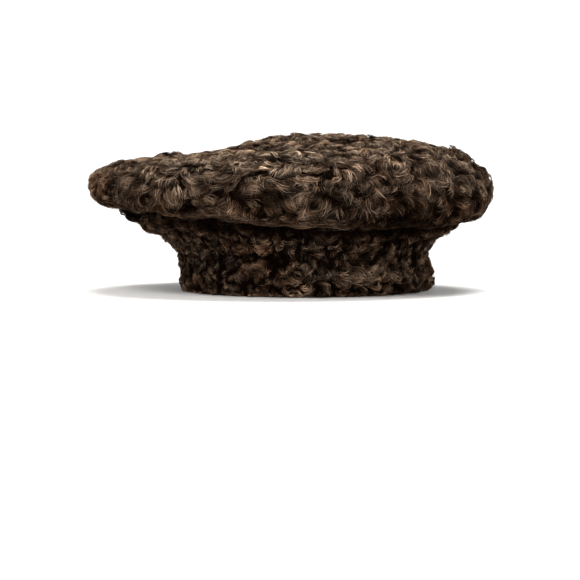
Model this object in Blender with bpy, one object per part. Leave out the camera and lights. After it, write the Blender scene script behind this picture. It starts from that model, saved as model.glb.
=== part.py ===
"""Curly lamb fur cap: a wide slouched tam crown on an upright band.

The pelt is a hollow wall, as thick as the skin and its flattened pile together, cut as the
furrier cuts it: a crown top that turns under at the rim, an underside panel that runs in from
the rim, and a band for the head. Metres, +Z up, the front of the cap towards -Y, standing on
the band's edge with the origin under the middle of the crown.
"""

import math

import bmesh
import bpy
from mathutils import Vector

# Band, measured over the fur. Its narrowest ring is the oval of the head with the pelt round it,
# it flares out to its top ring, and its fur rolls out above the edge, most on the cap's right.
BAND_HALF_WIDTH = 0.0835
BAND_HALF_DEPTH = 0.100
BAND_SHIFT = 0.0075
BAND_HEIGHT = 0.036
BAND_FLARE = 0.010
BAND_BULGE = 0.0035
BAND_LEAN = 0.0045
EDGE_TUCK = 0.0016

# Crown, measured over the fur. Its rim stands out past the band's top ring, and the rim line is
# lifted above that ring. The crown is tilted towards LOW_SIDE, droops further there, and has
# sunk on SLACK_SIDE.
CROWN_OVERHANG = 0.028
CROWN_LIFT = 0.0335
CROWN_RISE = 0.037
RIM_DROP = 0.0160
CROWN_TILT = 0.0075
FRONT_DROOP = 0.006
LOW_SIDE = math.radians(-66)
SLACK_SIDE = math.radians(180)

# Pelt: skin with its pile pressed flat, what is trimmed off each side of a seam, and the slope
# of the cut edges in the seam above the band
PELT_WALL = 0.006
SEAM_TRIM = 0.0003
BAND_SEAM_SLOPE = math.radians(51.5)

# Curls: their height, their width, how far apart they swirl, and the smooth strip by a seam
CURL_HEIGHT = 0.0042
CURL_PITCH = 0.023
CURL_SWIRL = 0.071
CURL_FADE = 0.012
CURL_SWAY = 1.6

# Mesh density: points round the cap, the spacing of the rings along the fur and inside it, and
# the shares of the radius within which a quarter and half of the points are enough
AROUND = 120
OUTER_STEP = 0.0072
INNER_STEP = 0.030
QUARTER_REACH = 0.28
HALF_REACH = 0.56
SPLINE_STEPS = 8
SURVEYED_SIDES = 8
SHARP_ANGLE = math.radians(60)

CROWN_RADIUS = BAND_HALF_DEPTH + BAND_FLARE + CROWN_OVERHANG
RIM_HEIGHT = BAND_HEIGHT + CROWN_LIFT

# Crown section from the middle outwards and under the rim. out is a share of CROWN_RADIUS.
# full and slack are heights on the firm side and on the side that has sunk, as shares of
# CROWN_RISE above the rim line and of RIM_DROP below it.
CROWN_SECTION = (
    # out, full, slack
    (0.150, 1.00, 0.88),
    (0.300, 1.00, 0.71),
    (0.450, 0.97, 0.57),
    (0.600, 0.92, 0.51),
    (0.720, 0.85, 0.47),
    (0.830, 0.73, 0.42),
    (0.910, 0.55, 0.34),
    (0.965, 0.31, 0.22),
    (0.993, 0.11, 0.08),
    (1.000, -0.10, -0.08),
    (0.985, -0.45, -0.38),
    (0.955, -0.78, -0.66),
    (0.918, -1.00, -0.90),
    (0.882, -0.93, -0.90),
)
SEAM_OUT = 0.868
SEAM_DROP = -0.74

# Underside panel from the rim seam to the band. in_share runs from the seam to the band's top
# ring, and down_share is how much of the drop between them has been made there.
UNDERSIDE_SECTION = (
    # in_share, down_share
    (0.10, 0.24),
    (0.30, 0.46),
    (0.55, 0.66),
    (0.80, 0.84),
)

# Band section from its top ring down. up is a share of BAND_HEIGHT, flare a share of
# BAND_FLARE and bulge a share of the roll that the fur makes above the edge.
BAND_SECTION = (
    # up, flare, bulge
    (0.87, 0.42, 0.00),
    (0.75, 0.06, 0.05),
    (0.60, 0.00, 0.30),
    (0.42, 0.00, 0.72),
    (0.24, 0.00, 1.00),
    (0.09, 0.00, 0.80),
)
EDGE_BULGE = 0.30

# Three crossing waves that swirl the curls: how much each follows the axes, and how much of the
# two slow waves bends it.
CURL_WAVES = (
    # along_x, along_y, along_z, first_bend, second_bend
    (1.00, 0.00, 0.25, 1.0, 0.0),
    (-0.30, 1.00, 0.00, 0.0, 1.0),
    (0.00, 0.35, 1.00, 1.0, -1.0),
)

FUR_COLOURS = {
    "crown_top": (0.070, 0.047, 0.034),
    "crown_underside": (0.045, 0.031, 0.024),
    "head_band": (0.058, 0.040, 0.030),
}
FUR_ROUGHNESS = 0.6


def rim_line(angle, out):
    """Height of the tilted, drooping rim line, at a share of the crown's radius."""
    lean = math.cos(angle - LOW_SIDE)
    return RIM_HEIGHT - CROWN_TILT * lean * out - FRONT_DROOP * max(0.0, lean) ** 2 * out**2


def crown_point(angle, out, full, slack):
    """A point of the crown's fur, as radius and height in the half plane at this angle."""
    sunk = 0.5 + 0.5 * math.cos(angle - SLACK_SIDE)
    share = full + (slack - full) * sunk
    size = CROWN_RISE if share > 0 else RIM_DROP
    return CROWN_RADIUS * out, rim_line(angle, out) + share * size


def crown_rows(angle):
    """The crown's section at this angle, from the middle to the rim seam."""
    middle = (0.0, RIM_HEIGHT + CROWN_RISE)
    rows = [crown_point(angle, *row) for row in CROWN_SECTION]
    return [middle, *rows, rim_seam(angle)]


def rim_seam(angle):
    """Where the crown top meets the underside, in the groove under the rim."""
    return crown_point(angle, SEAM_OUT, SEAM_DROP, SEAM_DROP)


def place_on_crown(angle, radius, height):
    """The crown's rings are circles round the origin."""
    return Vector((radius * math.cos(angle), radius * math.sin(angle), height))


def band_ring(angle, outset, height):
    """A point of the band's oval, set out from its narrowest ring."""
    return Vector(
        (
            BAND_SHIFT + (BAND_HALF_WIDTH + outset) * math.cos(angle),
            (BAND_HALF_DEPTH + outset) * math.sin(angle),
            height,
        )
    )


def roll(angle):
    """How far the fur above the edge stands out: most on the right of the cap."""
    return BAND_BULGE + BAND_LEAN * math.cos(angle)


def crown_meridian(angle):
    """The crown top's fur from its middle to the seam, as points."""
    return [place_on_crown(angle, *row) for row in crown_rows(angle)]


def underside_meridian(angle):
    """The underside's fur, from the rim seam to the band's top ring."""
    start = place_on_crown(angle, *rim_seam(angle))
    end = band_ring(angle, BAND_FLARE, BAND_HEIGHT)
    points = [start]
    for in_share, down_share in UNDERSIDE_SECTION:
        point = start.lerp(end, in_share)
        point.z = start.z + (end.z - start.z) * down_share
        points.append(point)
    return [*points, end]


def band_meridian(angle):
    """The band's fur, from its top ring to the edge that it stands on."""
    points = [band_ring(angle, BAND_FLARE, BAND_HEIGHT)]
    for up, flare, bulge in BAND_SECTION:
        outset = flare * BAND_FLARE + bulge * roll(angle)
        points.append(band_ring(angle, outset, up * BAND_HEIGHT))
    return [*points, band_ring(angle, EDGE_BULGE * roll(angle) - EDGE_TUCK, 0.0)]


def resample(points, count):
    """count + 1 points evenly spaced along a smooth curve through the given ones."""
    ends = [2 * points[0] - points[1], *points, 2 * points[-1] - points[-2]]
    fine = []
    for before, start, end, after in zip(ends, ends[1:], ends[2:], ends[3:]):
        for step in range(SPLINE_STEPS):
            t = step / SPLINE_STEPS
            fine.append(
                0.5
                * (
                    2 * start
                    + (end - before) * t
                    + (2 * before - 5 * start + 4 * end - after) * t**2
                    + (3 * start - 3 * end + after - before) * t**3
                )
            )
    fine.append(points[-1])
    lengths = [0.0]
    for start, end in zip(fine, fine[1:]):
        lengths.append(lengths[-1] + (end - start).length)
    found = []
    at = 0
    for number in range(count + 1):
        wanted = lengths[-1] * number / count
        while at < len(fine) - 2 and lengths[at + 1] < wanted:
            at += 1
        share = (wanted - lengths[at]) / (lengths[at + 1] - lengths[at])
        found.append(fine[at].lerp(fine[at + 1], min(1.0, share)))
    return found


def curve_length(points):
    return sum((end - start).length for start, end in zip(points, points[1:]))


def outward(points, number, angle):
    """The fur's outward direction at one point of a meridian that runs from the middle down."""
    along = points[min(number + 1, len(points) - 1)] - points[max(number - 1, 0)]
    around = Vector((-math.sin(angle), math.cos(angle), 0))
    return along.cross(around).normalized()


def curl(point):
    """Height of the curls at a point: wandering mounds, from -1 in a parting to 1 on a crest."""
    swirl = 2 * math.pi / CURL_SWIRL
    first = CURL_SWAY * (math.sin(swirl * point.y) + math.sin(swirl * (point.x - point.z)))
    second = CURL_SWAY * (math.sin(swirl * point.x) + math.sin(swirl * point.z))
    total = 0.0
    for along_x, along_y, along_z, first_bend, second_bend in CURL_WAVES:
        way = point.x * along_x + point.y * along_y + point.z * along_z
        total += math.cos(2 * math.pi * way / CURL_PITCH + first_bend * first + second_bend * second)
    return total / len(CURL_WAVES)


def furred(points, angle):
    """The meridian with its curls, which fade out at both of its ends."""
    total = curve_length(points)
    shown = []
    for number, point in enumerate(points):
        reach = total * number / (len(points) - 1)
        fade = min(1.0, reach / CURL_FADE, (total - reach) / CURL_FADE)
        rise = CURL_HEIGHT / 2 * fade * curl(point)
        shown.append(point + outward(points, number, angle) * rise)
    return shown


def skinned(points, angle, first_way, last_way):
    """The inner face of the wall. first_way and last_way are the directions of its cut edges."""
    inner = []
    for number, point in enumerate(points):
        way = -outward(points, number, angle)
        if number == 0 and first_way:
            way = first_way
        if number == len(points) - 1 and last_way:
            way = last_way
        inner.append(point + way * PELT_WALL)
    return inner


def rim_edge_way(angle):
    """Both pelts turn straight up at the rim seam."""
    return Vector((0, 0, 1))


def band_edge_way(angle):
    """Both pelts turn inwards and up at the seam above the band."""
    inwards = -math.cos(BAND_SEAM_SLOPE)
    return Vector(
        (inwards * math.cos(angle), inwards * math.sin(angle), math.sin(BAND_SEAM_SLOPE))
    )


def floor_edge_way(angle):
    """The band's lower edge is cut level, so that the cap stands flat."""
    return Vector((-math.cos(angle), -math.sin(angle), 0))


def trimmed(points, at_start, at_end):
    """The meridian with its seam allowance taken off the ends that meet another piece."""
    cut = list(points)
    if at_start:
        cut[0] = cut[0] + (cut[1] - cut[0]).normalized() * SEAM_TRIM
    if at_end:
        cut[-1] = cut[-1] + (cut[-2] - cut[-1]).normalized() * SEAM_TRIM
    return cut


def bridge(mesh, ring, wider):
    """Faces between two rings of points, where the second may have twice as many points."""
    count = len(ring)
    ratio = len(wider) // count
    for number in range(count):
        start, end = ring[number], ring[(number + 1) % count]
        edge = [wider[(number * ratio + step) % len(wider)] for step in range(ratio + 1)]
        if ratio == 1:
            mesh.faces.new((start, edge[0], edge[1], end))
        else:
            mesh.faces.new((start, edge[0], edge[1]))
            mesh.faces.new((start, edge[1], end))
            mesh.faces.new((end, edge[1], edge[2]))


def cap(mesh, middle, ring):
    for number, start in enumerate(ring):
        mesh.faces.new((middle, start, ring[(number + 1) % len(ring)]))


def ring_count(radius):
    """Fewer points round the small rings near the crown's middle."""
    if radius < QUARTER_REACH * CROWN_RADIUS:
        return AROUND // 4
    if radius < HALF_REACH * CROWN_RADIUS:
        return AROUND // 2
    return AROUND


def lofted_wall(name, meridian, edge_ways, at_start, at_end, collection):
    """A closed pelt wall: rings of curled fur outside, and smooth skin inside."""
    sides = [2 * math.pi * side / SURVEYED_SIDES for side in range(SURVEYED_SIDES)]
    longest = max(curve_length(meridian(angle)) for angle in sides)
    outer_count = math.ceil(longest / OUTER_STEP)
    inner_count = math.ceil(longest / INNER_STEP)
    closed = not at_start
    outer = [[] for _ in range(outer_count + 1)]
    inner = [[] for _ in range(inner_count + 1)]
    for number in range(AROUND):
        angle = 2 * math.pi * number / AROUND
        line = trimmed(meridian(angle), at_start, at_end)
        first_way = None if closed else edge_ways[0](angle)
        last_way = edge_ways[1](angle)
        fur = furred(resample(line, outer_count), angle)
        skin = skinned(resample(line, inner_count), angle, first_way, last_way)
        for row, point in zip(outer, fur):
            row.append(point)
        for row, point in zip(inner, skin):
            row.append(point)

    mesh = bmesh.new()
    rings = []
    for rows in (outer, inner):
        made = []
        for row in rows[1:] if closed else rows:
            step = AROUND // ring_count(row[0].to_2d().length) if closed else 1
            made.append([mesh.verts.new(point) for point in row[::step]])
        rings.append(made)
    fur_rings, skin_rings = rings
    for ring, wider in zip(fur_rings, fur_rings[1:]):
        bridge(mesh, ring, wider)
    for ring, wider in zip(skin_rings, skin_rings[1:]):
        bridge(mesh, ring, wider)
    bridge(mesh, fur_rings[-1], skin_rings[-1])
    if closed:
        cap(mesh, mesh.verts.new(outer[0][0]), fur_rings[0])
        cap(mesh, mesh.verts.new(inner[0][0]), skin_rings[0])
    else:
        bridge(mesh, fur_rings[0], skin_rings[0])
    bmesh.ops.recalc_face_normals(mesh, faces=mesh.faces)

    data = bpy.data.meshes.new(name)
    mesh.to_mesh(data)
    mesh.free()
    data.shade_smooth()
    data.set_sharp_from_angle(angle=SHARP_ANGLE)
    data.materials.append(fur_material(name))
    piece = bpy.data.objects.new(name, data)
    collection.objects.link(piece)
    return piece


def fur_material(name):
    material = bpy.data.materials.new(name + "_fur")
    material.use_nodes = True
    shader = material.node_tree.nodes["Principled BSDF"]
    colour = FUR_COLOURS[name]
    shader.inputs["Base Color"].default_value = (*colour, 1)
    shader.inputs["Roughness"].default_value = FUR_ROUGHNESS
    shader.inputs["Metallic"].default_value = 0.0
    material.diffuse_color = (*colour, 1)
    return material


def stand_on_origin(pieces):
    """Moves the whole cap so that the origin is under the middle of its outline."""
    corners = [vertex.co for piece in pieces for vertex in piece.data.vertices]
    low = Vector([min(corner[axis] for corner in corners) for axis in range(3)])
    high = Vector([max(corner[axis] for corner in corners) for axis in range(3)])
    for piece in pieces:
        piece.location = (-(low.x + high.x) / 2, -(low.y + high.y) / 2, -low.z)


def main():
    for leftover in list(bpy.data.objects):
        bpy.data.objects.remove(leftover)
    collection = bpy.data.collections.new("fur_cap")
    bpy.context.scene.collection.children.link(collection)
    pieces = [
        lofted_wall(
            "crown_top", crown_meridian, (None, rim_edge_way), False, True, collection
        ),
        lofted_wall(
            "crown_underside",
            underside_meridian,
            (rim_edge_way, band_edge_way),
            True,
            True,
            collection,
        ),
        lofted_wall(
            "head_band", band_meridian, (band_edge_way, floor_edge_way), True, False, collection
        ),
    ]
    stand_on_origin(pieces)


main()
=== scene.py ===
"""Looks of the curly lamb fur cap.

Each pelt of the cap gets a backing, which is its wall with dark underfur outside and bare hide
inside, and locks of curled fur that grow from it. A lock is a bundle of flat strands that leaves
the skin in a parting, arches over a ridge of the fleece and curls back down. The cap stands by
itself on a pale floor, seen from the photograph's side.
"""

import math
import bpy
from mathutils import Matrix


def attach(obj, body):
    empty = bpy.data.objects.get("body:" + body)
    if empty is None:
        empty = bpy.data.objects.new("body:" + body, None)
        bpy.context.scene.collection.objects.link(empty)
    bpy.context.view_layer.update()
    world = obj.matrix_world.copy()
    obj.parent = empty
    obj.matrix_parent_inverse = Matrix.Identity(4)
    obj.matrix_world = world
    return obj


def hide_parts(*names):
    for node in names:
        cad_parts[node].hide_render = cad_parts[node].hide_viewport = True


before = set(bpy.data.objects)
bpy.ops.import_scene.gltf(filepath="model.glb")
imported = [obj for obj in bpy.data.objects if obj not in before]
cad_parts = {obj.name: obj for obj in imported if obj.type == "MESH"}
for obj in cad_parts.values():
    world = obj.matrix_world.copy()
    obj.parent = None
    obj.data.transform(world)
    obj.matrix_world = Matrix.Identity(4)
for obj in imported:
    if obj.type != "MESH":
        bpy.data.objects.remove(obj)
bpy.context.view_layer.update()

from types import SimpleNamespace
from typing import NamedTuple

import bmesh
import bpy
import numpy as np
from bpy.props import FloatProperty, FloatVectorProperty, PointerProperty
from mathutils import Vector
from mathutils.bvhtree import BVHTree

bl_info = {
    "name": "Curly Lamb Fur Cap",
    "version": (1, 0, 0),
    "blender": (4, 5, 0),
    "location": "View3D > Sidebar > Fur Cap",
    "description": "Dresses the cap's pelts in curled fur and sets them on a pale stage",
    "category": "Add Mesh",
}

BODY = "root"

# A face that looks towards this point, with no other pelt between, is an inner one
HOLLOW_CENTRE = Vector((0.0, 0.0, 0.062))

# What a cut edge's neighbour is within, how much of the wall the sunk fur leaves, and how far the
# lowest strands stay over the floor
SEAM_REACH = 0.0012
THINNEST_WALL = 0.0015
FLOOR_GAP = 0.0003
FLOOR_SCATTER = 0.0012
ON_FLOOR = 1e-4
RAY_START = 1e-5

# How a lock runs from its root to its tip: how high it lifts, as a share of the fleece's lift,
# and how wide it is, as a share of its own width
LOCK_PROFILE = (
    # along, lift, width
    (0.00, -0.70, 0.75),
    (0.15, 0.35, 0.95),
    (0.38, 1.00, 1.00),
    (0.62, 0.90, 1.05),
    (0.82, 0.40, 1.05),
    (1.00, -0.30, 0.95),
)
LOCK_STEPS = 14
LOCK_FLATNESS = 0.45
LOCK_CRIMP = 0.38
LOCK_HEIGHT_SCATTER = 0.0003
TOP_SHORTENING = 0.22
STRAND_SPREAD = math.radians(100)
STRAND_TAPER = ((0, 0.25, 0.7, 1), (0.8, 1.0, 0.9, 0.25))

# How unlike each other locks and strands are: the least and the most of a share, or how far a
# value scatters
LENGTH_RANGE = (0.6, 1.35)
CURL_RANGE = (0.8, 1.2)
LIFT_RANGE = (0.55, 1.35)
LOCK_WIDTH_RANGE = (0.7, 1.3)
STRAND_WIDTH_RANGE = (0.7, 1.25)
WAVER_RANGE = (0.8, 2.0)
CRIMP_RANGE = (0.7, 1.3)
MOTTLE_AND_GLINT_LIMITS = (-2.5, 1.4)
LOCK_TWIST = 0.5
STRAND_TWIST = 0.3
LOCK_SHADE_SCATTER = 0.2
LOCK_WARMTH_SCATTER = 0.2
NORMAL_SCATTER = 0.7

# How tightly the locks curl, and what combing does to them
TIGHTNESS = 0.95
TIGHTNESS_DRIFT = 0.3
TIGHTNESS_LIMITS = (0.2, 1.6)
SWIRL = 0.55
COMB_PULL = 1.6
COMB_CALM = 0.8
COMB_LENGTHENING = 0.3
COMB_LOWERING = 0.5

# What varies over the fleece in smooth patches: the patches' size in ridges, and a seed
DRIFTS = {
    "relief": (1.3, 2),
    "hand": (2.2, 3),
    "shade": (2.1, 6),
    "swirl": (2.0, 7),
    "tightness": (1.6, 8),
}

# The ridges' wandering has a second, finer part: its share of the warp, and of its length
FINER_WARP = 0.35
FINER_WARP_LENGTH = 0.45

# The ridges' relief, as a floor and the shares of the wave and of chance. It is evened out
# towards a middling level on top of the crown.
RELIEF_SHARES = (0.12, 0.68, 0.20)
TOP_LEVEL = 0.75
TOP_LEVELLING = 0.45

# How far the underfur sinks into the wall in a parting, and rises from there on a crest
BACKING_SINK = 0.0030
RIDGE_RISE = 0.0032

# The groove under the rim is bare from the underside fur's radius to the rim edge's. The
# underside's fur is painted darker towards it, as shadow, and the band's fur hangs straighter
# within reach of its edge.
RIM_EDGE_RADIUS = 0.1235
RIM_EDGE_COMB = 0.95
UNDERSIDE_FUR_RADIUS = 0.1185
SHADOW_RADII = (0.1130, 0.1165)
FRINGE_REACH = 0.008
FRINGE_COMB = 0.7

# How the fur's warmth and shade drift from place to place, as shares, and over what length. The
# crown's top is painted paler and cooler, as light from above, and its fur where the rim turns
# under is painted darker, as shade.
WARMTH = 0.55
WARMTH_DRIFT = 0.25
WARMTH_DRIFT_LENGTH = 0.06
PAINTED_TOP_LIGHT_COOLING = 0.6
SHADE_DRIFT = 0.25
PAINTED_TOP_LIGHT = 0.3
PAINTED_TURNED_UNDER_SHADE = 0.5
RIM_EDGE_BRIGHTENING = 0.4

# The stage is a round floor that curves up into a wall. The paper pales between two distances
# from its middle.
FLOOR_MIDDLE_RADIUS = 1.0
FLOOR_RADIUS = 1.8
CURVE_RADIUS = 0.7
WALL_HEIGHT = 2.4
STAGE_SIDES = 96
CURVE_STEPS = 8
PAPER_PALES = (0.9, 2.4)
WALL_BRIGHTENING = 1.8
BRIGHTEST_PAPER = 0.9
LIGHT_AIM = (0, 0, 0.06)
LIGHTS = (
    # name, place, size, watts, colour
    ("key_light", (-0.7, -1.3, 1.7), 1.1, 46, (1.0, 0.97, 0.93)),
    ("top_light", (0.2, 0.3, 1.9), 1.4, 124, (1.0, 0.99, 0.97)),
    ("fill_light", (1.1, -1.5, 0.7), 1.0, 9, (1.0, 0.97, 0.94)),
)
WORLD_COLOUR = (1.0, 0.98, 0.96)
WORLD_STRENGTH = 0.25

# The photo's camera, in pixels: its focal length, the picture's width, and how far the line at
# the camera's height lies above the middle row. The sensor's width is in millimetres.
PHOTO_FOCAL = 1443
PHOTO_WIDTH = 580
HORIZON_RISE = 78
SENSOR_WIDTH = 36

# Places where the fur looks its own way: the middle and the reach along each axis in metres, how
# many times as bright it is, and how much warmer, more combed round the cap and higher
PATCHES = (
    # x, y, z, reach, shade, warmth, comb, loft
    # The next two rows paint shade on the crown's lower right and right end, where less light falls
    (0.070, -0.116, 0.049, (0.042, 0.050, 0.016), 0.18, 0.60, 0.20, 0.0),
    (0.122, -0.060, 0.058, (0.024, 0.045, 0.016), 0.50, 0.35, 0.0, 0.0),
    (0.047, -0.092, 0.0125, (0.028, 0.040, 0.0075), 1.90, -0.4, 0.90, 0.3),
    (-0.010, -0.105, 0.0090, (0.024, 0.040, 0.0060), 1.30, 0.0, 0.35, 0.0),
    (-0.012, -0.135, 0.074, (0.024, 0.040, 0.010), 0.95, -0.45, 0.0, 0.0),
    (-0.112, -0.075, 0.066, (0.032, 0.060, 0.020), 0.80, 0.0, 0.0, 0.0),
    (-0.078, -0.020, 0.093, (0.009, 0.040, 0.010), 0.60, 0.0, 0.0, 2.2),
    (0.113, -0.035, 0.090, (0.008, 0.040, 0.010), 0.55, 0.0, 0.0, 2.5),
    (0.128, -0.020, 0.080, (0.008, 0.040, 0.008), 0.55, 0.0, 0.0, 2.0),
)

# The flat strands that make up a lock's dark body, and the fine pale hairs over it. The hairs'
# paleness and each strand's random brightness are partly the hair's own tone and partly painted
# glints. width is a share of strand_width. depth, stray, waver and lift are shares of the lock's
# half width: how far from its middle a strand runs, and how far it strays, wavers and lifts. reach
# is how much of the lock's length a strand takes, and the last value is how bright a strand is down
# in a parting, where shade is painted on it.
BODY_STRANDS = SimpleNamespace(
    seed=100,
    per_lock=6,
    steps=5,
    width=1.0,
    depth=(0.70, 1.00),
    reach=(0.55, 1.00),
    stray=0.43,
    waver=0.14,
    lift=0.0,
    shade=0.66,
    mottle_and_glint=0.40,
    painted_parting_shade=0.07,
)
FINE_HAIRS = SimpleNamespace(
    seed=200,
    per_lock=12,
    steps=6,
    width=0.40,
    depth=(0.60, 1.15),
    reach=(0.50, 1.10),
    stray=0.80,
    waver=0.20,
    lift=0.28,
    shade=1.30,
    mottle_and_glint=0.66,
    painted_parting_shade=0.10,
)

# The fleece of each pelt. Lengths are in metres and angles in radians. ridge is the distance
# between its crests, and warp how far they wander, in waves of warp_length. spacing is the least
# distance between locks. Each lock has a length, a half width, a lift and a radius that it curls
# round, and scatter is how far it turns from its heading. depth is how sharply the painted shade
# darkens the partings. shade is how bright the pelt's fur is: the underside and band are painted
# darker, as shade under the crown.
FLEECES = {
    "crown_top": SimpleNamespace(
        slot="crown_fur",
        ridge=0.0140,
        warp=2.3,
        warp_length=0.050,
        spacing=0.0037,
        length=0.0150,
        width=0.0021,
        lift=0.0012,
        turn_radius=0.0066,
        scatter=0.28,
        depth=1.0,
        shade=1.0,
        seed=11,
    ),
    "crown_underside": SimpleNamespace(
        slot="underside_fur",
        ridge=0.0105,
        warp=2.2,
        warp_length=0.040,
        spacing=0.0041,
        length=0.0115,
        width=0.0020,
        lift=0.0012,
        turn_radius=0.0050,
        scatter=0.40,
        depth=1.3,
        shade=0.85,
        seed=23,
    ),
    "head_band": SimpleNamespace(
        slot="band_fur",
        ridge=0.0068,
        warp=2.6,
        warp_length=0.024,
        spacing=0.0033,
        length=0.0090,
        width=0.0016,
        lift=0.0017,
        turn_radius=0.0029,
        scatter=0.40,
        depth=2.0,
        shade=0.94,
        seed=37,
    ),
}


def unit(vectors):
    return vectors / np.maximum(np.linalg.norm(vectors, axis=-1, keepdims=True), 1e-12)


def dot(first, second):
    return np.sum(first * second, axis=-1, keepdims=True)


def smooth_step(values, low, high):
    share = np.clip((values - low) / (high - low), 0, 1)
    return share * share * (3 - 2 * share)


def waves(points, length, seed, count=8):
    """A smooth random field over the points, of about unit size, with waves of that length."""
    random = np.random.default_rng(seed)
    ways = unit(random.normal(size=(count, 3))) * (2 * math.pi / length)
    ways *= random.uniform(0.75, 1.3, (count, 1))
    starts = random.uniform(0, 2 * math.pi, count)
    return np.cos(points @ ways.T + starts).sum(axis=-1) * math.sqrt(2 / count)


def drift(points, fleece, name):
    """How one of the drifting values of the fleece varies over the points."""
    size, seed = DRIFTS[name]
    return waves(points, size * fleece.ridge, fleece.seed + seed)


class Pelt:
    """The outer face of one CAD node, which the fur grows on."""

    def __init__(self, name, neighbours):
        self.name = name
        self.fleece = FLEECES[name]
        self.vertices, self.faces = welded(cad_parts[name].data)
        corners = self.vertices[self.faces]
        normals = np.cross(corners[:, 1] - corners[:, 0], corners[:, 2] - corners[:, 0])
        areas = np.linalg.norm(normals, axis=1) / 2
        normals = unit(normals)
        centres = corners.mean(axis=1)
        facing_out = dot(normals, np.array(HOLLOW_CENTRE) - centres)[:, 0] < 0
        on_floor = centres[:, 2] < ON_FLOOR
        self.is_seam = np.zeros(len(self.faces), bool)
        for number, normal in enumerate(normals):
            start = Vector(centres[number] + normal * RAY_START)
            way = Vector(normal) * SEAM_REACH if facing_out[number] else HOLLOW_CENTRE - start
            hit = neighbours.ray_cast(start, way.normalized(), way.length)
            self.is_seam[number] = hit[0] is not None
        self.is_outer = facing_out & ~self.is_seam & ~on_floor
        self.is_inner = ~facing_out & ~self.is_seam
        self.outer = self.faces[self.is_outer]
        self.outer_areas = areas[self.is_outer]
        self.normals = np.zeros_like(self.vertices)
        weights = normals[self.is_outer] * self.outer_areas[:, None]
        for corner in range(3):
            np.add.at(self.normals, self.outer[:, corner], weights)
        self.normals = unit(self.normals)
        self.tree = BVHTree.FromPolygons(self.vertices.tolist(), self.outer.tolist())
        self.walls = np.zeros(len(self.vertices))

    def measure_walls(self, inside):
        """Find how far the cap's inside lies under each point of the outer face."""
        for number in np.unique(self.outer):
            self.walls[number] = inside.find_nearest(Vector(self.vertices[number]))[3]

    def at(self, points):
        """The nearest points of the pelt, with its smooth normals and wall there."""
        flat = points.reshape(-1, 3)
        found = [self.tree.find_nearest(Vector(point)) for point in flat]
        places = np.array([hit[0] for hit in found])
        corners = self.outer[np.array([hit[2] for hit in found])]
        a, b, c = (self.vertices[corners[:, number]] for number in range(3))
        across = np.cross(b - a, c - a)
        size = np.sum(across * across, axis=1)
        first = np.sum(np.cross(b - places, c - places) * across, axis=1) / size
        second = np.sum(np.cross(c - places, a - places) * across, axis=1) / size
        shares = np.stack([first, second, 1 - first - second], axis=1)[:, :, None]
        normals = unit(np.sum(self.normals[corners] * shares, axis=1))
        walls = np.sum(self.walls[corners] * shares[:, :, 0], axis=1)
        shape = points.shape
        return places.reshape(shape), normals.reshape(shape), walls.reshape(shape[:-1])

    def roots(self, spacing, random):
        """Points scattered evenly over the pelt, at least the spacing apart, with their normals."""
        area = self.outer_areas.sum()
        tries = int(area / spacing**2 * 6)
        chosen = random.choice(len(self.outer), tries, p=self.outer_areas / area)
        u, v = random.uniform(size=(2, tries))
        over = u + v > 1
        u[over], v[over] = 1 - u[over], 1 - v[over]
        a, b, c = (self.vertices[self.outer[chosen, number]] for number in range(3))
        points = a + (b - a) * u[:, None] + (c - a) * v[:, None]
        taken = {}
        kept = []
        for number, point in enumerate(points):
            cell = tuple((point // spacing).astype(int))
            near = (
                taken.get((cell[0] + i, cell[1] + j, cell[2] + k), ())
                for i in (-1, 0, 1)
                for j in (-1, 0, 1)
                for k in (-1, 0, 1)
            )
            if all(np.sum((point - points[o]) ** 2) > spacing**2 for group in near for o in group):
                taken.setdefault(cell, []).append(number)
                kept.append(number)
        places, normals, _ = self.at(points[kept])
        return places, normals


def welded(mesh):
    """The mesh's points with doubles merged, and its triangles."""
    points = np.empty(len(mesh.vertices) * 3, np.float32)
    mesh.vertices.foreach_get("co", points)
    points = points.reshape(-1, 3).astype(float)
    mesh.calc_loop_triangles()
    faces = np.empty(len(mesh.loop_triangles) * 3, np.int32)
    mesh.loop_triangles.foreach_get("vertices", faces)
    _, first, where = np.unique(
        np.round(points, 6), axis=0, return_index=True, return_inverse=True
    )
    faces = where.reshape(-1)[faces].reshape(-1, 3)
    whole = np.all(faces != np.roll(faces, 1, axis=1), axis=1)
    return points[first], faces[whole]


def face_tree(parts):
    """A search tree over the faces of several meshes, each given as its points and triangles."""
    points = []
    faces = []
    for vertices, triangles in parts:
        faces.extend((triangles + len(points)).tolist())
        points.extend(vertices.tolist())
    return BVHTree.FromPolygons(points, faces)


def read_pelts():
    pelts = {}
    for name in FLEECES:
        others = (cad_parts[other].data for other in FLEECES if other != name)
        pelts[name] = Pelt(name, face_tree(welded(mesh) for mesh in others))
    inside = face_tree((pelt.vertices, pelt.faces[pelt.is_inner]) for pelt in pelts.values())
    for pelt in pelts.values():
        pelt.measure_walls(inside)
    return pelts


def grain(points, normals):
    """Two directions on the pelt: away from the crown's middle towards the band, and around."""
    around = np.stack([-points[..., 1], points[..., 0], np.zeros(points.shape[:-1])], axis=-1)
    around = unit(around - normals * dot(around, normals))
    down = unit(np.cross(around, normals))
    return down, around


def phase(points, normals, fleece):
    """Where a point lies in the fleece's ridges: 0 on a crest and pi in a parting."""
    radius = np.hypot(points[..., 0], points[..., 1])
    reach = np.where(normals[..., 2] < -0.2, -radius, radius) - points[..., 2]
    bend = fleece.warp * waves(points, fleece.warp_length, fleece.seed)
    finer = waves(points, FINER_WARP_LENGTH * fleece.warp_length, fleece.seed + 1)
    bend += FINER_WARP * fleece.warp * finer
    return 2 * math.pi * reach / fleece.ridge + bend


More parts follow.
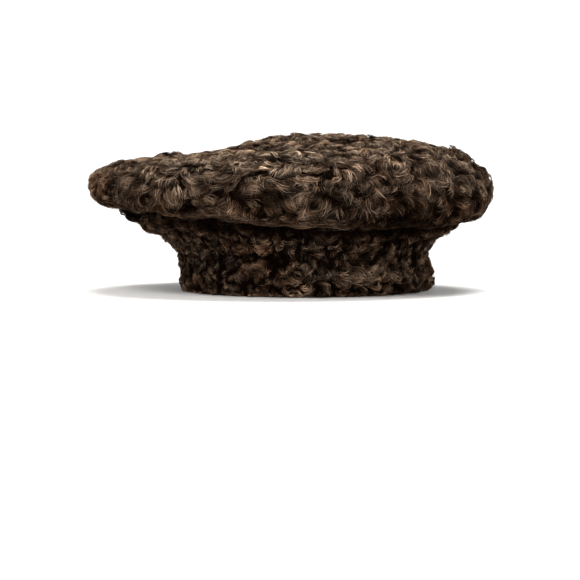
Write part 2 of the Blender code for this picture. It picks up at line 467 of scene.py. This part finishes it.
def ridges(points, normals, fleece):
    """Height of the fleece's own relief, from 0 in a parting to 1 on a crest."""
    along = 0.5 + 0.5 * np.cos(phase(points, normals, fleece))
    floor, wave, chance = RELIEF_SHARES
    return np.clip(floor + wave * along + chance * drift(points, fleece, "relief"), 0, 1)


def deepest(walls):
    """How low the fur may sink under the CAD face, as a height, where the wall is this thick."""
    return np.minimum(THINNEST_WALL - walls, 0)


def base_height(points, normals, walls, fleece):
    """How far the underfur stands over the CAD face, or sinks under it."""
    relief = ridges(points, normals, fleece)
    relief += (TOP_LEVEL - relief) * TOP_LEVELLING * smooth_step(normals[..., 2], 0.7, 0.95)
    relief *= 1 - rim_edge(points, normals)
    return np.maximum(RIDGE_RISE * relief - BACKING_SINK, deepest(walls))


def across_ridges(points, normals, fleece):
    """The direction over the next crest, as a unit tangent."""
    down, around = grain(points, normals)
    step = 0.0004
    here = phase(points, normals, fleece)
    slope_down = (phase(points + down * step, normals, fleece) - here)[..., None]
    slope_around = (phase(points + around * step, normals, fleece) - here)[..., None]
    return unit(down * slope_down + around * slope_around)


def trace(pelt, starts, normals, ways, turns, lengths):
    """Lock middles over the pelt: points, normals and walls at each step of each lock."""
    step = lengths[:, None] / (LOCK_STEPS - 1)
    points, ups, walls = [starts], [normals], [pelt.at(starts)[2]]
    way = ways
    for number in range(1, LOCK_STEPS):
        place, up = points[-1], ups[-1]
        side = np.cross(up, way)
        angle = turns[:, number][:, None] * step
        way = way * np.cos(angle) + side * np.sin(angle)
        place, up, wall = pelt.at(place + way * step)
        way = unit(way - up * dot(way, up))
        points.append(place)
        ups.append(up)
        walls.append(wall)
    return np.stack(points, 1), np.stack(ups, 1), np.stack(walls, 1)


def profile_at(along, column):
    """A column of the lock's profile at these shares of its length."""
    places, lifts, widths = zip(*LOCK_PROFILE)
    return np.interp(along, places, lifts if column == "lift" else widths)


class Strands(NamedTuple):
    """Flat strands in rows: middles, half widths, faces' directions, and what colours them."""

    points: np.ndarray
    sides: np.ndarray
    normals: np.ndarray
    half_widths: np.ndarray
    along: np.ndarray
    shade: np.ndarray
    warmth: np.ndarray

    def pick(self, chosen):
        return Strands(*(values[chosen] for values in self))


class Styling:
    """What the place of each lock's root asks of it."""

    def __init__(self, roots, normals, fleece):
        down, around = grain(roots, normals)
        self.shade = np.ones(len(roots))
        warmth_waves = waves(roots, WARMTH_DRIFT_LENGTH, fleece.seed + 5)
        self.warmth = WARMTH + WARMTH_DRIFT * warmth_waves
        # Painted light: fur facing up is tinted cooler and greyer, as the light from above falls on
        # it
        self.warmth -= PAINTED_TOP_LIGHT_COOLING * smooth_step(normals[:, 2], 0.3, 1.0)
        self.comb = np.zeros(len(roots))
        self.heading = down.copy()
        self.calm(rim_edge(roots, normals), around)
        self.shade *= np.exp(SHADE_DRIFT * drift(roots, fleece, "shade"))
        # Painted light and shade on the crown: paler on top, where the light falls, and darker
        # where the rim turns under, in its shade. The rim's lower edge is brightened.
        if fleece.slot == "crown_fur":
            rise = normals[:, 2]
            top = PAINTED_TOP_LIGHT * smooth_step(rise, 0.6, 0.95)
            self.shade *= 1 + top - PAINTED_TURNED_UNDER_SHADE * smooth_step(-rise, -0.1, 0.5)
            self.shade += RIM_EDGE_BRIGHTENING * smooth_step(-rise, 0.7, 0.95)
        # Painted light and shadow on the underside: its fur a little brighter, as where it catches
        # light, and darker towards the groove under the rim, as shadow
        if fleece.slot == "underside_fur":
            radius = np.hypot(roots[:, 0], roots[:, 1])
            self.shade *= 1.2 - smooth_step(radius, *SHADOW_RADII)
        self.calm(FRINGE_COMB * np.clip(1 - roots[:, 2] / FRINGE_REACH, 0, 1), down)
        self.loft = np.ones(len(roots))
        for x, y, z, reach, shade, warmth, comb, loft in PATCHES:
            away = (roots - np.array([x, y, z])) / np.array(reach)
            near = np.exp(-np.sum(away**2, axis=1) ** 2)
            self.shade *= 1 + (shade - 1) * near
            self.warmth += warmth * near
            self.loft += loft * near
            self.calm(comb * near, unit(0.95 * around - 0.3 * down))

    def calm(self, strength, heading):
        """Comb the fur this much and this way where it isn't combed more strongly yet."""
        more = strength > self.comb
        self.comb = np.where(more, strength, self.comb)
        self.heading = np.where(more[:, None], heading, self.heading)


def rim_edge(points, normals):
    """How far a point is on the rim's lower edge, where the fur is combed round the cap."""
    radius = np.hypot(points[..., 0], points[..., 1])
    turned_under = smooth_step(-normals[..., 2], 0.50, 0.85)
    return RIM_EDGE_COMB * turned_under * (radius > RIM_EDGE_RADIUS)


def clear_of_groove(points, normals, name):
    """False in the groove under the rim, where the seam draws the fur in."""
    radius = np.hypot(points[:, 0], points[:, 1])
    if name == "crown_top":
        return (normals[:, 2] > -0.35) | (radius > RIM_EDGE_RADIUS)
    if name == "crown_underside":
        return radius < UNDERSIDE_FUR_RADIUS
    return np.ones(len(points), bool)


def lock_paths(pelt):
    """The locks' middles, sides, rises, place on the ridges and styling, step by step."""
    fleece = pelt.fleece
    random = np.random.default_rng(fleece.seed)
    roots, normals = pelt.roots(fleece.spacing, random)
    kept = clear_of_groove(roots, normals, pelt.name)
    roots, normals = roots[kept], normals[kept]
    count = len(roots)
    styling = Styling(roots, normals, fleece)
    calm = styling.comb[:, None]

    way = across_ridges(roots, normals, fleece)
    way = unit(way * (1 - calm) + styling.heading * COMB_PULL * calm)
    side = np.cross(normals, way)
    swirl = drift(roots, fleece, "swirl")[:, None]
    astray = random.normal(size=(count, 1)) * fleece.scatter + SWIRL * swirl
    astray *= 1 - COMB_CALM * calm
    way = way * np.cos(astray) + side * np.sin(astray)
    hand = np.sign(drift(roots, fleece, "hand") + 0.1 * random.normal(size=count))
    shortening = 1 - TOP_SHORTENING * smooth_step(normals[:, 2], 0.75, 0.95)
    lengths = fleece.length * random.uniform(*LENGTH_RANGE, count)
    lengths *= shortening * (1 + COMB_LENGTHENING * styling.comb)
    tightness = TIGHTNESS + TIGHTNESS_DRIFT * drift(roots, fleece, "tightness")
    bend = hand * np.clip(tightness, *TIGHTNESS_LIMITS) * random.uniform(*CURL_RANGE, count)
    bend /= fleece.turn_radius * shortening
    swing = np.linspace(0, 1, LOCK_STEPS)[None, :]
    reverse = random.uniform(size=(count, 1)) < 0.5
    turns = bend[:, None] * np.where(reverse, np.cos(math.pi * 1.2 * swing), 0.4 + 1.0 * swing)
    turns *= 1 - COMB_CALM * calm
    points, ups, walls = trace(pelt, roots, normals, way, turns, lengths)

    lifts = fleece.lift * random.uniform(*LIFT_RANGE, count)
    lifts *= (1 - COMB_LOWERING * styling.comb) * styling.loft
    extra = random.normal(size=count) * LOCK_HEIGHT_SCATTER
    height = base_height(points, ups, walls, fleece) + extra[:, None]
    height += profile_at(np.linspace(0, 1, LOCK_STEPS), "lift") * lifts[:, None]
    middles = points + ups * np.maximum(height, deepest(walls))[..., None]
    tangents = unit(np.gradient(middles, axis=1))
    sides = unit(np.cross(ups, tangents))
    rises = unit(np.cross(tangents, sides))
    # Painted shade: strands darken down in the partings between the ridges, as sharply as the
    # fleece's depth asks, but not where the fur is combed smooth
    crest = smooth_step(ridges(points, ups, fleece), 0.05, 0.85) ** fleece.depth
    return middles, sides, rises, crest + (1 - crest) * styling.comb[:, None], styling


def lock_strands(fleece, paths, settings, kind):
    """The strands of one kind in the locks: their dark bodies, or their pale fine hairs."""
    middles, sides, rises, crest, styling = paths
    random = np.random.default_rng(fleece.seed + kind.seed)
    count = len(middles)
    widths = fleece.width * random.uniform(*LOCK_WIDTH_RANGE, count)
    chosen = np.repeat(np.arange(count), kind.per_lock)
    total = len(chosen)
    turn_place = np.tile(np.arange(kind.per_lock), count) + random.uniform(0, 1, total)
    spread = (2 * turn_place / kind.per_lock - 1) * STRAND_SPREAD
    depth = random.uniform(*kind.depth, total)
    twist = random.normal(size=total) * STRAND_TWIST
    twist += random.normal(size=count)[chosen] * LOCK_TWIST
    reach = random.uniform(*kind.reach, total)
    share = np.linspace(0, 1, kind.steps)
    at = share[None, :] * reach[:, None]
    low = np.minimum((at * (LOCK_STEPS - 1)).astype(int), LOCK_STEPS - 2)
    part = (at * (LOCK_STEPS - 1) - low)[..., None]
    rows = chosen[:, None]

    def along_lock(values):
        return values[rows, low] * (1 - part) + values[rows, low + 1] * part

    across = unit(along_lock(sides))
    rise = unit(along_lock(rises))
    width = profile_at(at, "width")
    half = (widths[chosen][:, None] * width * depth[:, None])[..., None]
    tilt = (spread[:, None] + twist[:, None] * share[None, :])[..., None]
    waver = random.uniform(*WAVER_RANGE, (total, 1)) * share[None, :]
    waver += random.uniform(size=(total, 1))
    crimp = random.uniform(*CRIMP_RANGE, count)[rows] * share[None, :]
    crimp = crimp + random.uniform(size=count)[rows]
    crimped = fleece.width * LOCK_CRIMP * (1 - styling.comb[rows]) * np.sin(2 * math.pi * crimp)
    stray = random.normal(size=(total, 1)) * fleece.width * kind.stray * share[None, :] ** 1.5
    aside = fleece.width * kind.waver * np.sin(2 * math.pi * waver) + crimped + stray
    lifted = fleece.width * kind.lift * np.abs(random.normal(size=(total, 1)))
    lifted = lifted * np.sin(math.pi * share[None, :] ** 0.8)
    places = along_lock(middles)
    places = places + across * (half * np.sin(tilt) + aside[..., None])
    places = places + rise * (LOCK_FLATNESS * half * np.cos(tilt) + lifted[..., None])
    facing = unit(across * np.sin(tilt) + rise * np.cos(tilt))
    flat = unit(np.cross(unit(np.gradient(places, axis=1)), facing))
    lowest = FLOOR_GAP + FLOOR_SCATTER * random.uniform(size=(total, 1))
    places[..., 2] = np.maximum(places[..., 2], lowest)

    taper = np.interp(share, *STRAND_TAPER)
    thick = kind.width * settings.strand_width / 2 * random.uniform(*STRAND_WIDTH_RANGE, total)
    nudge = random.normal(size=(total, 1, 1)) * NORMAL_SCATTER
    lock_shade = np.exp(random.normal(size=count) * LOCK_SHADE_SCATTER)
    lock_shade = lock_shade * fleece.shade * styling.shade
    # Random brightness per strand, partly the hair's own tone and partly painted glints on the hair
    mottle_and_glint = np.exp(np.clip(random.normal(size=total), *MOTTLE_AND_GLINT_LIMITS) * kind.mottle_and_glint)
    shade = (lock_shade[chosen] * kind.shade * mottle_and_glint)[:, None]
    # Painted shade in the partings, taken from each step's place on the ridges
    height = along_lock(crest[..., None])[..., 0]
    shade = shade * (kind.painted_parting_shade + (1 - kind.painted_parting_shade) * height)
    warmth = styling.warmth + LOCK_WARMTH_SCATTER * random.normal(size=count)
    warmth = np.clip(warmth, 0, 1)[chosen]
    return Strands(
        points=places,
        sides=flat,
        normals=unit(facing + flat * nudge),
        half_widths=thick[:, None] * taper[None, :],
        along=at,
        shade=shade,
        warmth=np.repeat(warmth[:, None], kind.steps, axis=1),
    )


def add_attribute(mesh, name, values):
    layer = mesh.attributes.new(name, "FLOAT", "POINT")
    layer.data.foreach_set("value", values.astype(np.float32).ravel())


def strand_piece(name, strands, material):
    """One mesh of flat strands, each a row of faces with a strip of its own in the bake's map."""
    count, steps = strands.points.shape[:2]
    edge = strands.sides * strands.half_widths[..., None]
    points = np.stack([strands.points - edge, strands.points + edge], axis=2)
    points[..., 2] = np.maximum(points[..., 2], FLOOR_GAP / 2)
    mesh = bpy.data.meshes.new(name)
    total = count * steps * 2
    faces = count * (steps - 1)
    mesh.vertices.add(total)
    mesh.vertices.foreach_set("co", points.astype(np.float32).ravel())
    start = (np.arange(count)[:, None] * steps + np.arange(steps - 1)[None, :]).ravel() * 2
    corners = np.stack([start, start + 1, start + 3, start + 2], axis=1)
    mesh.loops.add(faces * 4)
    mesh.loops.foreach_set("vertex_index", corners.astype(np.int32).ravel())
    mesh.polygons.add(faces)
    mesh.polygons.foreach_set("loop_start", np.arange(faces, dtype=np.int32) * 4)
    mesh.update(calc_edges=True)
    mesh.validate()

    cells = math.ceil(math.sqrt(count))
    numbers = np.arange(count)
    u = (numbers % cells)[:, None, None] + np.array([0.15, 0.85])[None, None, :]
    v = (numbers // cells)[:, None, None] + np.linspace(0.06, 0.94, steps)[None, :, None]
    uv = np.stack(np.broadcast_arrays(u, v), axis=-1).reshape(-1, 2) / cells
    layer = mesh.uv_layers.new(name="OFBake")
    layer.uv.foreach_set("vector", uv[corners.ravel()].astype(np.float32).ravel())

    for kind in ("along", "shade", "warmth"):
        add_attribute(mesh, "fur_" + kind, np.repeat(getattr(strands, kind).ravel(), 2))
    mesh.shade_smooth()
    normals = np.repeat(strands.normals.reshape(-1, 3), 2, axis=0)
    mesh.normals_split_custom_set_from_vertices(normals)
    mesh.materials.append(material)
    piece = bpy.data.objects.new(name, mesh)
    bpy.context.scene.collection.objects.link(piece)
    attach(piece, BODY)


def backing_piece(pelt, name, underfur, hide):
    """The pelt's wall, its outer face sunk under the fur and raised into the fleece's ridges."""
    fur_side, hide_side, cut_edge = range(3)
    work = bmesh.new()
    vertices = [work.verts.new(point) for point in pelt.vertices]
    for face, outer, seam in zip(pelt.faces, pelt.is_outer, pelt.is_seam):
        made = work.faces.new([vertices[number] for number in face])
        made.material_index = fur_side if outer else cut_edge if seam else hide_side
        made.smooth = True

    def furred(part):
        return [face.material_index == fur_side for face in part.link_faces]

    edges = [edge for edge in work.edges if any(furred(edge))]
    bmesh.ops.subdivide_edges(work, edges=edges, cuts=1, use_grid_fill=True)
    bmesh.ops.triangulate(work, faces=[face for face in work.faces if len(face.verts) > 4])
    outer = [vertex for vertex in work.verts if any(furred(vertex))]
    within = [vertex for vertex in outer if all(furred(vertex))]
    for _ in range(2):
        bmesh.ops.smooth_vert(
            work, verts=within, factor=0.5, use_axis_x=True, use_axis_y=True, use_axis_z=True
        )
    places = np.array([vertex.co for vertex in outer])
    _, normals, walls = pelt.at(places)
    heights = base_height(places, normals, walls, pelt.fleece)
    for vertex, place, normal, height in zip(outer, places, normals, heights):
        vertex.co = Vector(place + normal * height)
        vertex.co.z = max(0.0, vertex.co.z)
    mesh = bpy.data.meshes.new(name)
    work.to_mesh(mesh)
    work.free()
    for surface in (underfur, hide, underfur):
        mesh.materials.append(surface)
    piece = bpy.data.objects.new(name, mesh)
    bpy.context.scene.collection.objects.link(piece)
    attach(piece, BODY)
    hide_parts(pelt.name)


class Nodes:
    """Builds a material's node tree, one named node at a time."""

    def __init__(self, name):
        self.material = bpy.data.materials.new(name)
        self.material.use_nodes = True
        self.tree = self.material.node_tree
        self.shader = self.tree.nodes["Principled BSDF"]

    def add(self, kind, **values):
        node = self.tree.nodes.new(kind)
        for key, value in values.items():
            setattr(node, key, value)
        return node

    def link(self, output, entry):
        self.tree.links.new(output, entry)

    def attribute(self, name):
        return self.add("ShaderNodeAttribute", attribute_name=name).outputs["Fac"]

    def ramp(self, fac, stops):
        node = self.add("ShaderNodeValToRGB")
        while len(node.color_ramp.elements) < len(stops):
            node.color_ramp.elements.new(0.5)
        for element, (place, colour) in zip(node.color_ramp.elements, stops):
            element.position = place
            element.color = (*colour, 1)
        self.link(fac, node.inputs["Fac"])
        return node.outputs["Color"]

    def noise(self, scale, detail=2.0):
        node = self.add("ShaderNodeTexNoise")
        node.inputs["Scale"].default_value = scale
        node.inputs["Detail"].default_value = detail
        where = self.add("ShaderNodeTexCoord")
        self.link(where.outputs["Object"], node.inputs["Vector"])
        return node.outputs["Fac"]

    def spread(self, fac, low, high):
        node = self.add("ShaderNodeMapRange")
        node.inputs["To Min"].default_value = low
        node.inputs["To Max"].default_value = high
        self.link(fac, node.inputs["Value"])
        return node.outputs["Result"]

    def mix(self, factor, first, second):
        """Mixes two colours, each another node's output or a tuple."""
        node = self.add("ShaderNodeMix", data_type="RGBA")
        entries = {entry.identifier: entry for entry in node.inputs}
        self.link(factor, entries["Factor_Float"])
        for name, value in (("A_Color", first), ("B_Color", second)):
            if isinstance(value, tuple):
                entries[name].default_value = (*value, 1)
            else:
                self.link(value, entries[name])
        return node.outputs[2]

    def tint(self, colour, by):
        node = self.add("ShaderNodeVectorMath", operation="MULTIPLY")
        self.link(colour, node.inputs[0])
        node.inputs[1].default_value = by
        return node.outputs["Vector"]

    def product(self, first, second):
        node = self.add("ShaderNodeMath", operation="MULTIPLY")
        self.link(first, node.inputs[0])
        self.link(second, node.inputs[1])
        return node.outputs["Value"]

    def scale_colour(self, colour, factor):
        node = self.add("ShaderNodeVectorMath", operation="SCALE")
        self.link(colour, node.inputs[0])
        self.link(factor, node.inputs["Scale"])
        return node.outputs["Vector"]

    def bump(self, height, distance):
        node = self.add("ShaderNodeBump")
        node.inputs["Distance"].default_value = distance
        self.link(height, node.inputs["Height"])
        self.link(node.outputs["Normal"], self.shader.inputs["Normal"])


def darker(colour, share):
    return tuple(value * share for value in colour)


def fur_material(settings):
    """Strands that are dark at the root and paler towards the tip, each a little different."""
    made = Nodes("curly_fur")
    # The ramp is partly the hair's own colour, with darker roots and paler tips, and partly painted
    # light: shade near the skin and a highlight where the lock crests
    brown = made.ramp(
        made.attribute("fur_along"),
        [
            (0.0, settings.root_colour),
            (0.3, settings.middle_colour),
            (0.7, settings.crest_colour),
            (1.0, darker(settings.crest_colour, 0.6)),
        ],
    )
    # The grey tint is partly each lock's own tone and partly the cool light painted on the fur
    # facing up
    grey = made.tint(brown, settings.grey_colour)
    warm = made.tint(brown, settings.warm_colour)
    tinted = made.mix(made.attribute("fur_warmth"), grey, warm)
    fleck = made.spread(made.noise(900.0), 0.75, 1.3)
    # fur_shade brings each strand's random tone together with its painted light and shade
    colour = made.scale_colour(tinted, made.product(made.attribute("fur_shade"), fleck))
    made.link(colour, made.shader.inputs["Base Color"])
    made.link(made.spread(made.noise(500.0), 0.38, 0.6), made.shader.inputs["Roughness"])
    made.bump(made.noise(2600.0), 0.0001)
    made.shader.inputs["Specular IOR Level"].default_value = 0.0
    return made.material


def underfur_material(settings):
    """The matted wool under the locks, nearly black: partly its own dark colour and partly painted
    deep shade between the locks.
    """
    made = Nodes("underfur")
    colour = made.ramp(
        made.noise(700.0, 4.0),
        [(0.3, darker(settings.root_colour, 0.1)), (0.8, darker(settings.root_colour, 0.3))],
    )
    made.link(colour, made.shader.inputs["Base Color"])
    made.link(made.spread(made.noise(300.0), 0.7, 0.9), made.shader.inputs["Roughness"])
    made.bump(made.noise(1500.0, 4.0), 0.0006)
    made.shader.inputs["Specular IOR Level"].default_value = 0.0
    return made.material


def hide_material(settings):
    """The skin side of the pelt, as plain suede."""
    made = Nodes("suede_hide")
    colour = made.ramp(
        made.noise(90.0, 5.0),
        [(0.3, darker(settings.hide_colour, 0.7)), (0.75, settings.hide_colour)],
    )
    made.link(colour, made.shader.inputs["Base Color"])
    made.link(made.spread(made.noise(400.0), 0.8, 0.95), made.shader.inputs["Roughness"])
    made.bump(made.noise(1100.0, 4.0), 0.0003)
    made.shader.inputs["Specular IOR Level"].default_value = 0.2
    return made.material


class FurSettings(bpy.types.PropertyGroup):
    strand_width: FloatProperty(
        name="Strand width",
        description="Width of one of the dark flat strands; the fine hairs are narrower",
        default=0.00062,
        unit="LENGTH",
        subtype="DISTANCE",
    )
    root_colour: FloatVectorProperty(
        name="Root",
        description="Colour of the fur at the skin",
        default=(0.0150, 0.0080, 0.0048),
        subtype="COLOR",
    )
    middle_colour: FloatVectorProperty(
        name="Middle",
        description="Colour of the fur's middle",
        default=(0.046, 0.0260, 0.0155),
        subtype="COLOR",
    )
    crest_colour: FloatVectorProperty(
        name="Crest",
        description="Colour of the fur where it crests",
        default=(0.130, 0.087, 0.058),
        subtype="COLOR",
    )
    grey_colour: FloatVectorProperty(
        name="Grey tint",
        description="Tint of the cooler locks",
        default=(0.84, 0.93, 1.0),
        subtype="COLOR",
    )
    warm_colour: FloatVectorProperty(
        name="Warm tint",
        description="Tint of the warmer locks",
        default=(1.0, 0.92, 0.86),
        subtype="COLOR",
    )
    hide_colour: FloatVectorProperty(
        name="Hide",
        description="Colour of the skin inside the cap",
        default=(0.16, 0.11, 0.075),
        subtype="COLOR",
    )


class StageSettings(bpy.types.PropertyGroup):
    camera_distance: FloatProperty(
        name="Camera distance",
        description="How far in front of the cap the camera stands",
        default=1.0,
        unit="LENGTH",
        subtype="DISTANCE",
    )
    camera_height: FloatProperty(
        name="Camera height",
        description="Height of the camera over the floor",
        default=0.0536,
        unit="LENGTH",
        subtype="DISTANCE",
    )
    camera_pitch: FloatProperty(
        name="Camera pitch",
        description="How far the camera looks down",
        default=math.atan(HORIZON_RISE / PHOTO_FOCAL),
        unit="ROTATION",
        subtype="ANGLE",
    )
    camera_lens: FloatProperty(
        name="Lens",
        description="Focal length on a 36 mm sensor",
        default=SENSOR_WIDTH * PHOTO_FOCAL / PHOTO_WIDTH,
        unit="CAMERA",
    )
    floor_colour: FloatVectorProperty(
        name="Floor",
        description="Colour of the floor, from which the backdrop pales",
        default=(0.50, 0.50, 0.50),
        subtype="COLOR",
    )


class FURCAP_OT_backings(bpy.types.Operator):
    """Add the three pelt walls with underfur outside and bare hide inside"""

    bl_idname = "furcap.backings"
    bl_label = "Pelt backings"

    def execute(self, context):
        settings = context.scene.furcap_fur
        underfur, hide = underfur_material(settings), hide_material(settings)
        for node, piece in (
            ("crown_top", "crown_backing"),
            ("crown_underside", "underside_backing"),
            ("head_band", "band_backing"),
        ):
            backing_piece(PELTS[node], piece, underfur, hide)
        return {"FINISHED"}


def split_by_angle(strands, parts):
    """The strands' numbers in sectors round the cap, by where each strand is rooted."""
    root = strands.points[:, 0]
    angle = np.arctan2(root[:, 1], root[:, 0]) % (2 * math.pi)
    sector = np.minimum((angle / (2 * math.pi) * parts).astype(int), parts - 1)
    return [np.nonzero(sector == number)[0] for number in range(parts)]


def add_locks(settings, node, name, sectors):
    """A pelt's dark locks and pale hairs, each as one piece or as one for each sector."""
    pelt = PELTS[node]
    paths = lock_paths(pelt)
    material = fur_material(settings)
    for part, kind in (("locks", BODY_STRANDS), ("hairs", FINE_HAIRS)):
        strands = lock_strands(pelt.fleece, paths, settings, kind)
        for number, chosen in enumerate(split_by_angle(strands, sectors)):
            ending = f"_{number + 1}" if sectors > 1 else ""
            piece = f"{name}_{part}{ending}"
            strand_piece(piece, strands.pick(chosen), material)


class FURCAP_OT_crown_locks(bpy.types.Operator):
    """Add the locks of the crown, in sectors round the cap"""

    bl_idname = "furcap.crown_locks"
    bl_label = "Crown locks"

    def execute(self, context):
        add_locks(context.scene.furcap_fur, "crown_top", "crown", 3)
        return {"FINISHED"}


class FURCAP_OT_underside_locks(bpy.types.Operator):
    """Add the locks of the panel under the rim"""

    bl_idname = "furcap.underside_locks"
    bl_label = "Underside locks"

    def execute(self, context):
        add_locks(context.scene.furcap_fur, "crown_underside", "underside", 1)
        return {"FINISHED"}


class FURCAP_OT_band_locks(bpy.types.Operator):
    """Add the small tight curls of the head band"""

    bl_idname = "furcap.band_locks"
    bl_label = "Band locks"

    def execute(self, context):
        add_locks(context.scene.furcap_fur, "head_band", "band", 1)
        return {"FINISHED"}


def stage_paper(settings):
    """Paper that pales from the floor towards the wall."""
    made = Nodes("stage_paper")
    where = made.add("ShaderNodeTexCoord")
    length = made.add("ShaderNodeVectorMath", operation="LENGTH")
    made.link(where.outputs["Object"], length.inputs[0])
    paper = made.add("ShaderNodeMapRange")
    paper.inputs["From Min"].default_value, paper.inputs["From Max"].default_value = PAPER_PALES
    made.link(length.outputs["Value"], paper.inputs["Value"])
    brighter = (value * WALL_BRIGHTENING for value in settings.floor_colour)
    wall = tuple(min(BRIGHTEST_PAPER, value) for value in brighter)
    colour = made.mix(paper.outputs["Result"], tuple(settings.floor_colour), wall)
    made.link(colour, made.shader.inputs["Base Color"])
    made.shader.inputs["Roughness"].default_value = 0.9
    made.shader.inputs["Specular IOR Level"].default_value = 0.1
    return made.material


def stage_floor(settings):
    """A round floor whose edge curves up into a wall."""
    section = [(FLOOR_MIDDLE_RADIUS, 0.0), (FLOOR_RADIUS, 0.0)]
    for step in range(1, CURVE_STEPS + 1):
        angle = math.pi / 2 * step / CURVE_STEPS
        outwards = FLOOR_RADIUS + CURVE_RADIUS * math.sin(angle)
        section.append((outwards, CURVE_RADIUS - CURVE_RADIUS * math.cos(angle)))
    section.append((FLOOR_RADIUS + CURVE_RADIUS, WALL_HEIGHT))
    turns = [2 * math.pi * side / STAGE_SIDES for side in range(STAGE_SIDES)]
    bowl = bmesh.new()
    rings = [
        [bowl.verts.new((out * math.cos(turn), out * math.sin(turn), height)) for turn in turns]
        for out, height in section
    ]
    middle = bowl.verts.new((0, 0, 0))
    for side in range(STAGE_SIDES):
        after = (side + 1) % STAGE_SIDES
        bowl.faces.new((middle, rings[0][side], rings[0][after]))
        for inner, outer in zip(rings, rings[1:]):
            bowl.faces.new((inner[side], outer[side], outer[after], inner[after]))
    mesh = bpy.data.meshes.new("stage_floor")
    bowl.to_mesh(mesh)
    bowl.free()
    mesh.shade_smooth()
    mesh.materials.append(stage_paper(settings))
    return bpy.data.objects.new("stage_floor", mesh)


def area_light(name, place, size, watts, colour):
    light = bpy.data.lights.new(name, "AREA")
    light.shape = "DISK"
    light.size = size
    light.energy = watts
    light.color = colour
    lamp = bpy.data.objects.new(name, light)
    lamp.location = place
    way = Vector(LIGHT_AIM) - Vector(place)
    lamp.rotation_euler = way.to_track_quat("-Z", "Y").to_euler()
    bpy.context.scene.collection.objects.link(lamp)


def stage_camera(settings):
    camera = bpy.data.cameras.new("camera")
    camera.lens = settings.camera_lens
    camera.sensor_width = SENSOR_WIDTH
    camera.sensor_fit = "HORIZONTAL"
    camera.clip_start = 0.01
    eye = bpy.data.objects.new("camera", camera)
    eye.location = (0, -settings.camera_distance, settings.camera_height)
    eye.rotation_euler = (math.pi / 2 - settings.camera_pitch, 0, 0)
    return eye


class FURCAP_OT_stage(bpy.types.Operator):
    """Add the floor that curves up into a backdrop all round, the lights and the camera"""

    bl_idname = "furcap.stage"
    bl_label = "Stage"

    def execute(self, context):
        settings = context.scene.furcap_stage
        scene = context.scene
        floor = stage_floor(settings)
        scene.collection.objects.link(floor)
        for light in LIGHTS:
            area_light(*light)
        world = scene.world or bpy.data.worlds.new("stage_world")
        scene.world = world
        world.use_nodes = True
        background = world.node_tree.nodes["Background"]
        background.inputs["Color"].default_value = (*WORLD_COLOUR, 1)
        background.inputs["Strength"].default_value = WORLD_STRENGTH
        eye = stage_camera(settings)
        scene.collection.objects.link(eye)
        scene.camera = eye
        scene.view_settings.view_transform = "Standard"
        return {"FINISHED"}


class FURCAP_PT_sidebar(bpy.types.Panel):
    bl_idname = "FURCAP_PT_sidebar"
    bl_label = "Fur Cap"
    bl_space_type = "VIEW_3D"
    bl_region_type = "UI"
    bl_category = "Fur Cap"

    def draw(self, context):
        for operator in OPERATORS:
            self.layout.operator(operator.bl_idname)
        for settings in (context.scene.furcap_fur, context.scene.furcap_stage):
            box = self.layout.box()
            for name in settings.bl_rna.properties.keys():
                if name not in ("rna_type", "name"):
                    box.prop(settings, name)


PELTS = read_pelts()
OPERATORS = (
    FURCAP_OT_backings,
    FURCAP_OT_crown_locks,
    FURCAP_OT_underside_locks,
    FURCAP_OT_band_locks,
    FURCAP_OT_stage,
)
CLASSES = (FurSettings, StageSettings, *OPERATORS, FURCAP_PT_sidebar)


def register():
    for made in CLASSES:
        bpy.utils.register_class(made)
    bpy.types.Scene.furcap_fur = PointerProperty(type=FurSettings)
    bpy.types.Scene.furcap_stage = PointerProperty(type=StageSettings)


def unregister():
    del bpy.types.Scene.furcap_stage
    del bpy.types.Scene.furcap_fur
    for made in reversed(CLASSES):
        bpy.utils.unregister_class(made)


def main():
    register()
    bpy.ops.furcap.backings()
    bpy.ops.furcap.crown_locks()
    bpy.ops.furcap.underside_locks()
    bpy.ops.furcap.band_locks()
    bpy.ops.furcap.stage()


if __name__ == "__main__":
    main()
